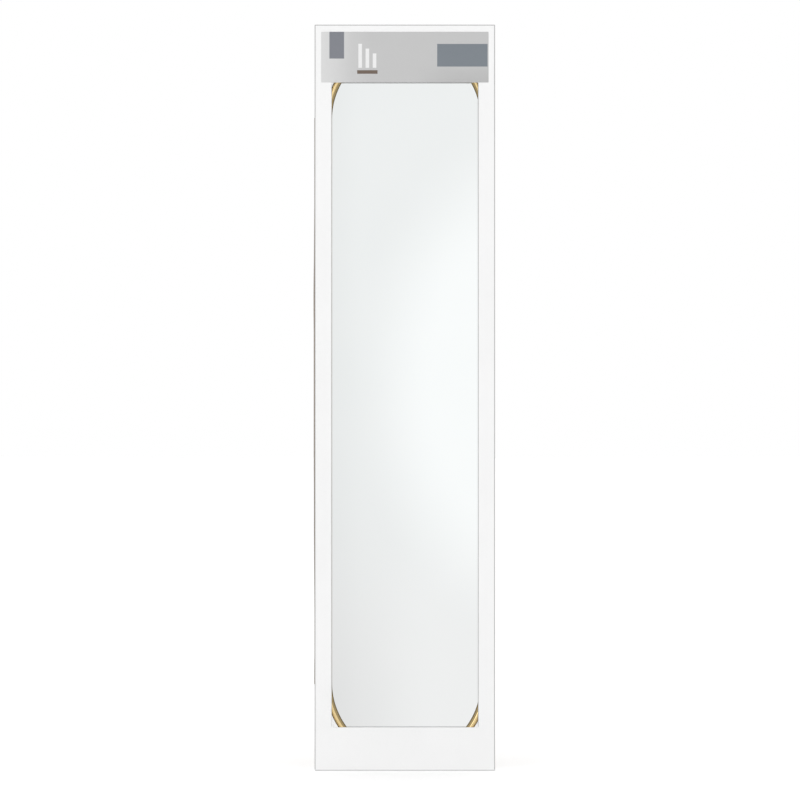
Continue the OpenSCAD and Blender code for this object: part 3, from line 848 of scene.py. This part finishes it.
# %% [markdown]
# ## The printed label
#
# A sheet of paper glued to the card, only 0.3 mm thick. It could be a picture plane, but its edge
# still matters, because it casts the fine line that sets the print off from the card. So it is a
# thin slab with a rounded edge.

# %% Printed label piece
def label_sheet():
    """A thin slab: rings from the glued back over the rounded edge to the printed face."""
    back, face = label_high[1], label_low[1]
    steps = [(0.05, back, 0.5), (0, back - 0.06 * MM, 0.5), (0, face + 0.1 * MM, 0.5),
             (0.06, face + 0.02 * MM, 0.5), (0.2, face, 0.4)]
    rings = [rectangle_ring(label_low, label_high, inset * MM, y, r * MM) for inset, y, r in steps]
    return loft("printed_label", rings, False)


dressed(label_sheet(), "card", "label_print", LABEL_PRINT, "header_label")

# %% [markdown]
# ## Sheet parts and pads with softened edges
#
# The hooks, guides, rail, turn buttons, packing pads and the card's closing flap have the right
# shape in CAD but knife-sharp edges. A copy of the mesh is merged, its flat faces are joined
# again, and a narrow Bevel modifier rounds the edges, so that they catch a line of light as
# stamped steel and cut card do.

# %% Softened copies
SAME_CAD_POINT = 1e-6                        # metres: a CAD mesh is loose triangles
EDGE_ANGLE = math.radians(40)                # faces that meet at more than this have an edge


def softened(node_name, piece_name, width, flat_angle=1.0):
    """A copy of a CAD node with a bevel of the given width on its edges. Faces that differ by less
    than the flat angle, in degrees, are joined first."""
    mesh = nodes[node_name].data.copy()
    mesh.name = piece_name
    work = bmesh.new()
    work.from_mesh(mesh)
    bmesh.ops.remove_doubles(work, verts=work.verts, dist=SAME_CAD_POINT)
    bmesh.ops.dissolve_limit(work, angle_limit=math.radians(flat_angle), verts=work.verts,
                             edges=work.edges)
    bmesh.ops.recalc_face_normals(work, faces=work.faces)
    work.to_mesh(mesh)
    work.free()
    mesh.shade_smooth()
    mesh.set_sharp_from_angle(angle=EDGE_ANGLE)
    piece = new_object(piece_name, mesh)
    edge = piece.modifiers.new("rounded edges", "BEVEL")
    edge.width, edge.segments, edge.limit_method = width, 2, "ANGLE"
    edge.angle_limit, edge.harden_normals = EDGE_ANGLE, True
    return piece


SOFTENED = [         # CAD node, body, finish slot, finish, edge radius in mm
    ("hanging_rail", "mirror", "zinc_steel", ZINC, 0.25),
    ("hook_guide_left", "mirror", "zinc_steel", ZINC, 0.2),
    ("hook_guide_right", "mirror", "zinc_steel", ZINC, 0.2),
    ("hook_left", "left_hook", "zinc_steel", ZINC, 0.35),
    ("hook_right", "right_hook", "zinc_steel", ZINC, 0.35),
    ("top_pad", "card", "white_pad", PAD_CARD, 0.4),
    ("bottom_pad", "card", "white_pad", PAD_CARD, 0.4),
    *[(f"turn_button_{i}", f"button_{i}", "zinc_steel", ZINC, 0.15) for i in range(1, 7)],
]
for name, body, slot, material, radius in SOFTENED:
    dressed(softened(name, "edged_" + name, radius * MM), body, slot, material, name)

# %% Closing flap
FLAP_BEND = 0.02     # degrees: its face bends so little that 1 degree would flatten it
flap = softened("closing_flap", "edged_closing_flap", 0.12 * MM, FLAP_BEND)
dressed(flap, "card", "raw_card", RAW_CARD, "closing_flap")

# %% [markdown]
# ## Turned parts: screws, thumb screws, bumpers
#
# Screws, knobs and bumpers are bodies of revolution: a profile of radius against height, turned
# about an axis that points to the rear. Two small changes to that rule give the rest. A height
# that also depends on the direction sinks a cross recess into a screw head, and a radius that
# swings with the angle cuts the grooves into a thumb screw's knob.

# %% Turned parts
SCREW_STEPS, BUMPER_STEPS = 64, 72           # points round one turn
GROOVES, STEPS_PER_GROOVE = 24, 12           # of a thumb screw's knob


def turned(profile, around, places, reshape=None):
    """Turns (radius, height) pairs about +Y at each (x, z): x + r cos a, height, z + r sin a."""
    r, h = (np.repeat(v[:, None], around, axis=1) for v in np.asarray(profile, dtype=float).T)
    a = np.broadcast_to(np.arange(around) * 2 * np.pi / around, r.shape)
    if reshape:
        r, h = reshape(r, h, a)
    one = np.stack([r * np.cos(a), h, r * np.sin(a)], axis=2).reshape(-1, 3)
    faces = grid_faces(len(profile), around, False, True)
    places = np.asarray(places, dtype=float)
    shifts = np.stack([places[:, 0], np.zeros(len(places)), places[:, 1]], axis=1)
    points = (shifts[:, None, :] + one[None]).reshape(-1, 3)
    counts = np.arange(len(places)) * len(one)
    return points, (faces[None] + counts[:, None, None]).reshape(-1, 4)


def screw_places(node_name):
    """Middles in X and Z of a CAD node's separate solids, the islands of its merged mesh."""
    work = bmesh.new()
    work.from_mesh(nodes[node_name].data)
    bmesh.ops.remove_doubles(work, verts=work.verts, dist=SAME_CAD_POINT)
    left, places = set(work.verts), []
    while left:
        island, edge = set(), {next(iter(left))}
        while edge:
            island |= edge
            edge = {e.other_vert(v) for v in edge for e in v.link_edges} - island
        left -= island
        corners = np.array([v.co for v in island])
        places.append(((corners.max(0) + corners.min(0)) / 2)[[0, 2]])
    work.free()
    return sorted(places, key=lambda p: (round(p[1], 4), round(p[0], 4)))


# %% Screws with a cross recess
def cross_recess(r, h, a, head_top, reach, arm, depth):
    """Sinks a cross: where |x| or |z| is under arm and the radius under reach, by depth that fades
    towards the ends of the arms."""
    x, z = np.abs(r * np.cos(a)), np.abs(r * np.sin(a))
    across = np.minimum(x, z)
    wall = np.clip((arm - across) / (0.25 * arm) + 0.5, 0, 1)
    fade = np.clip((reach - r) / (0.35 * reach), 0, 1)
    return r, h - depth * wall * fade * (h > head_top)


def pan_screws(node_name, piece_name):
    """Pan-head screws: plain shaft with a pointed end, flat under-head, low dome, cross recess."""
    low, high = (np.array(c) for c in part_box(node_name))
    head_r, head_h, shaft_r, rim_r = 2.6 * MM, 1.6 * MM, 1.5 * MM, 0.5 * MM
    head_y, tip_y = high[1] - head_h, low[1]
    dome_r, dome_y = head_r - rim_r, head_y + 2 * rim_r
    a = np.linspace(0, np.pi / 2, 9)[1:]
    edge = np.stack([dome_r + rim_r * np.cos(a), head_y + rim_r + rim_r * np.sin(a)], 1)
    rings = np.linspace(dome_r, 0, 22)[1:]
    dome = np.stack([rings, dome_y + (high[1] - dome_y) * (1 - (rings / dome_r) ** 2)], 1)
    profile = np.concatenate([
        [(0, tip_y), (shaft_r - 0.5 * MM, tip_y + 0.1 * MM), (shaft_r, tip_y + 0.7 * MM),
         (shaft_r, head_y), (head_r - 0.15 * MM, head_y), (head_r, head_y + 0.15 * MM),
         (head_r, head_y + rim_r)], edge, dome])
    recess = {"head_top": head_y + 0.9 * MM, "reach": 1.6 * MM, "arm": 0.4 * MM, "depth": 0.9 * MM}
    points, faces = turned(profile, SCREW_STEPS, screw_places(node_name),
                           lambda r, h, a: cross_recess(r, h, a, **recess))
    return build_mesh(piece_name, points, faces)


for name in ("splice_screws", "button_screws", "rail_screws"):
    dressed(pan_screws(name, "cross_" + name), "mirror", "screw_steel", BRIGHT_ZINC, name)

# %% Thumb screws
def thumb_screw(node_name, piece_name):
    """Knob with half-round grooves: r falls by depth * |cos(n a / 2)| ** 6 between the chamfers."""
    low, high = (np.array(c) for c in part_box(node_name))
    middle = (low + high) / 2
    knob_r, knob_h, shaft_r, groove_depth = high[0] - middle[0], 6 * MM, 2.5 * MM, 0.7 * MM
    top, under, tip = high[1], high[1] - knob_h, low[1]
    chamfer = np.array([(-1.3, 0), (-0.8, 0.08), (-0.25, 0.4), (0, 0.8)]) * MM
    dish = np.array([(-2.2, 0), (-2.5, -0.25), (-4, -0.45)]) * MM
    profile = np.concatenate([
        [(0, tip), (shaft_r - 0.4 * MM, tip), (shaft_r, tip + 0.4 * MM), (shaft_r, under)],
        chamfer + (knob_r, under), [(knob_r, under + 2 * MM), (knob_r, under + 4 * MM)],
        chamfer[::-1] * (1, -1) + (knob_r, top), dish + (knob_r, top), [(0, top - 0.45 * MM)],
    ])

    def grooved(r, h, a):
        rim = np.clip((r - (knob_r - 1.6 * MM)) / MM, 0, 1)
        return r - groove_depth * rim * np.abs(np.cos(GROOVES * a / 2)) ** 6, h

    points, faces = turned(profile, GROOVES * STEPS_PER_GROOVE, [(middle[0], middle[2])], grooved)
    return build_mesh(piece_name, points, faces, sharp_angle=50)


for side in ("left", "right"):
    screw = thumb_screw(f"thumb_screw_{side}", f"grooved_thumb_screw_{side}")
    dressed(screw, f"{side}_thumb_screw", "screw_steel", BRIGHT_ZINC, f"thumb_screw_{side}")

# %% Rubber bumpers
def bumpers():
    """Bumpers: a slightly flared foot, a rounded end and a shallow cup in the middle of it."""
    top, r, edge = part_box("back_bumpers")[1][1], 9 * MM, 1.5 * MM
    a = np.linspace(0, np.pi / 2, 8)
    rounded_end = np.stack([r - edge - 0.3 * MM + edge * np.cos(a),
                            top - edge + edge * np.sin(a)], 1)
    foot = [(0, 0), (r, 0), (r, 1.2 * MM), (r - 0.3 * MM, 1.8 * MM)]
    cup_y = top - 0.6 * MM
    cup = [(4.2 * MM, top), (3.8 * MM, top - 0.2 * MM), (3 * MM, cup_y), (0, cup_y)]
    profile = np.concatenate([foot, rounded_end, cup])
    points, faces = turned(profile, BUMPER_STEPS, screw_places("back_bumpers"))
    return build_mesh("rubber_bumpers", points, faces)


dressed(bumpers(), "mirror", "rubber", RUBBER, "back_bumpers")

# %% [markdown]
# ## Felt pads
#
# Each hook has two felt pads, where it meets the door's face and its back. Felt is soft, so its
# edges are rounder than the steel's and not quite straight: the outline wavers by a tenth of a
# millimetre, from a few sine waves with fixed phases.

# %% Felt pads
def felt_pads(side):
    """Slabs of felt: rings of a rounded rectangle from back to face, inset by a quarter circle, and
    each point moved out from the middle by 0.1 mm * (sin 5t + sin(11t) / 2) / 1.5."""
    low, high = (np.array(c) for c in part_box(f"hook_pads_{side}"))
    thick, round_r, waver = 1.5 * MM, 0.5 * MM, 0.1 * MM
    middle = (low + high) / 2 * (1, 0, 1)
    a = np.linspace(0, np.pi / 2, 5)
    inset = np.concatenate([round_r * (1 - np.sin(a)), round_r * (1 - np.cos(a))])
    depth = np.concatenate([round_r * (1 - np.cos(a)), thick - round_r * (1 - np.sin(a))])
    faces, caps, points = [], [], []
    for k, y in enumerate((low[1], high[1] - thick)):
        pad = np.stack([rectangle_ring(low, high, i + 1.5 * waver, y + d, 1.2 * MM)
                        for i, d in zip(inset, depth)])
        rows, count = pad.shape[:2]
        run = np.arange(count) * 2 * np.pi / count
        wave = waver * (np.sin(5 * run + k) + 0.5 * np.sin(11 * run + 2.1 + k)) / 1.5
        out = (pad - middle) * (1, 0, 1)
        out /= np.linalg.norm(out, axis=2, keepdims=True)
        points.append((pad + out * wave[None, :, None]).reshape(-1, 3))
        shift = k * rows * count
        faces.append(grid_faces(rows, count, False, True) + shift)
        caps += [ring + shift for ring in end_faces(rows, count)]
    return build_mesh(f"felt_pads_{side}", np.concatenate(points), np.concatenate(faces), caps)


for side in ("left", "right"):
    dressed(felt_pads(side), f"{side}_hook", "felt", FELT, f"hook_pads_{side}")

# %% [markdown]
# ## Studio: floor, light and what the mirror sees
#
# The floor is a plain white sheet and the background is white. A mirror shows what stands
# opposite it, so a large light wall behind the camera gives it something to show: pale grey, a
# little darker low on the left, with one tall, soft oval of brighter light that runs out of its
# right edge. The wall is written in the mirror's own metres. A ray from the camera to the mirror
# and on to the wall spreads as it goes, so a place on the wall is the place in the mirror times
# that growth.

# %% Floor
QUAD = [(-1, -1), (1, -1), (1, 1), (-1, 1)]  # the corners of a flat stage piece, going round


def stage_quad(name, corners, material):
    """A flat stage piece from four corners."""
    mesh = bpy.data.meshes.new(name)
    mesh.from_pydata(corners, [], [(0, 1, 2, 3)])
    piece = new_object(name, mesh)
    piece.data.materials.append(material)
    return piece


def make_floor():
    """Matt white studio floor with a trace of grain, lit a little beyond white."""
    material, tree, shader, place = new_material("studio floor")
    tone = mix_colour(tree, effect(tree, GRAIN, place, 60.0), grey(0.93), grey(0.97))
    fill(tree, shader, Base_Color=tone, Roughness=0.9, Specular_IOR_Level=0.1,
         Emission_Color=grey(1.0), Emission_Strength=0.12)
    return finished(material)


floor_z, floor_r = card_low[2], 40.0
floor = stage_quad("floor", [(x * floor_r, y * floor_r, floor_z) for x, y in QUAD], make_floor())
floor.visible_glossy = False                 # the mirror looks past the floor to the light wall

# %% Light wall behind the camera
WALL_Y, WALL_X, WALL_Z = -10.0, 1.6, 2.4     # where it stands, half its width and half its height
glass_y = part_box("mirror_glass")[0][1]
camera_to_glass = glass_y - camera.location.y
SPREAD = (camera_to_glass + glass_y - WALL_Y) / camera_to_glass
OVAL_MIDDLE, OVAL_RADII = (0.199, 0.037), (0.223, 0.34)   # in the mirror's metres


def in_mirror(tree, part, looked_at):
    """Where the mirror shows a place on the wall: looked_at + (part - looked_at) / spread."""
    past = math_node(tree, "SUBTRACT", part, looked_at)
    return math_node(tree, "MULTIPLY_ADD", past, 1 / SPREAD, looked_at)


def make_light_wall():
    """The wall's light: 0.92 all over, less at the left and low down there, and more in a soft
    oval. The place in the oval is sqrt(((x - x0) / a)^2 + ((z - z0) / b)^2), which is 1 at its
    outline. The light is a trace cooler, except low down."""
    material = bpy.data.materials.new("light wall")
    tree = empty_tree(material)
    parts = xyz(tree, object_place(tree))
    x, z = in_mirror(tree, parts[0], look_x), in_mirror(tree, parts[2], look_z)
    across, up = (math_node(tree, "MULTIPLY_ADD", part, 1 / radius, -at / radius)
                  for part, at, radius in zip((x, z), OVAL_MIDDLE, OVAL_RADII))
    oval = smooth(tree, hypotenuse(tree, across, up), 1.325, 0.675)
    left = smooth(tree, x, -0.07, -0.125)
    low_left = times(tree, smooth(tree, x, 0.047, -0.105), smooth(tree, z, 0.22, -1.3))
    light = 0.9225
    for mask, change in ((low_left, -0.19), (left, -0.03), (oval, 0.106)):
        light = math_node(tree, "MULTIPLY_ADD", mask, change, light)
    tint = mix_colour(tree, smooth(tree, z, -0.1, -0.5), (0.985, 1.0, 1.0, 1), grey(1.0))
    colour = mix_colour(tree, 1.0, tint, light, "MULTIPLY")
    glow = node(tree, "ShaderNodeEmission", {"Color": colour, "Strength": 1.0})
    node(tree, "ShaderNodeOutputMaterial", {"Surface": glow.outputs[0]})
    return finished(material)


wall = stage_quad("light wall", [(x * WALL_X, WALL_Y, z * WALL_Z) for x, z in QUAD],
                  make_light_wall())
wall.visible_camera = False
print(f"the light wall is {SPREAD:.2f} times as large as its image in the mirror")

# %% World and lamps
def make_world():
    """White to the camera. Matt surfaces get an even soft light, a little stronger from above.
    Glossy ones see a room that is bright in front and behind and dark all round the sides."""
    world = bpy.data.worlds.new("studio")
    tree = empty_tree(world)
    path = node(tree, "ShaderNodeLightPath").outputs

    def where(ray, yes, no):
        """One level for one kind of ray, and another for the rest."""
        return node(tree, "ShaderNodeMix", {0: path[ray], 2: no, 3: yes},
                    data_type="FLOAT").outputs[0]

    direction = xyz(tree, node(tree, "ShaderNodeTexCoord").outputs["Generated"])
    above = smooth(tree, direction[2], -0.9, 0.9, 0.88, 1.02)
    ahead = smooth(tree, math_node(tree, "ABSOLUTE", direction[1]), 0.1, 0.85, 0.36, 0.95)
    level = where("Is Camera Ray", 1.0, where("Is Glossy Ray", ahead, above))
    glow = node(tree, "ShaderNodeBackground", {"Color": grey(1.0), "Strength": level})
    node(tree, "ShaderNodeOutputWorld", {"Surface": glow.outputs[0]})
    bpy.context.scene.world = world


make_world()
LAMPS = [            # name, place, size in metres, power in watts
    ("key light", (-4.5, -6.5, 0.9), 3.0, 45.0),
    ("back light", (3.5, 5.5, 3.0), 3.0, 10.0),
]
AIM_AT = np.array([0.0, 0.0, 0.1])
for name, place, size, power in LAMPS:
    lamp = bpy.data.lights.new(name, "AREA")
    lamp.shape, lamp.size, lamp.energy = "SQUARE", size, power
    holder = new_object(name, lamp)
    holder.location = place
    aim = AIM_AT - np.array(place)
    holder.rotation_euler = (math.atan2(math.hypot(aim[0], aim[1]), -aim[2]), 0,
                             math.atan2(aim[1], aim[0]) - math.pi / 2)
print("lamps:", ", ".join(f"{name} {power:g} W" for name, _, _, power in LAMPS))
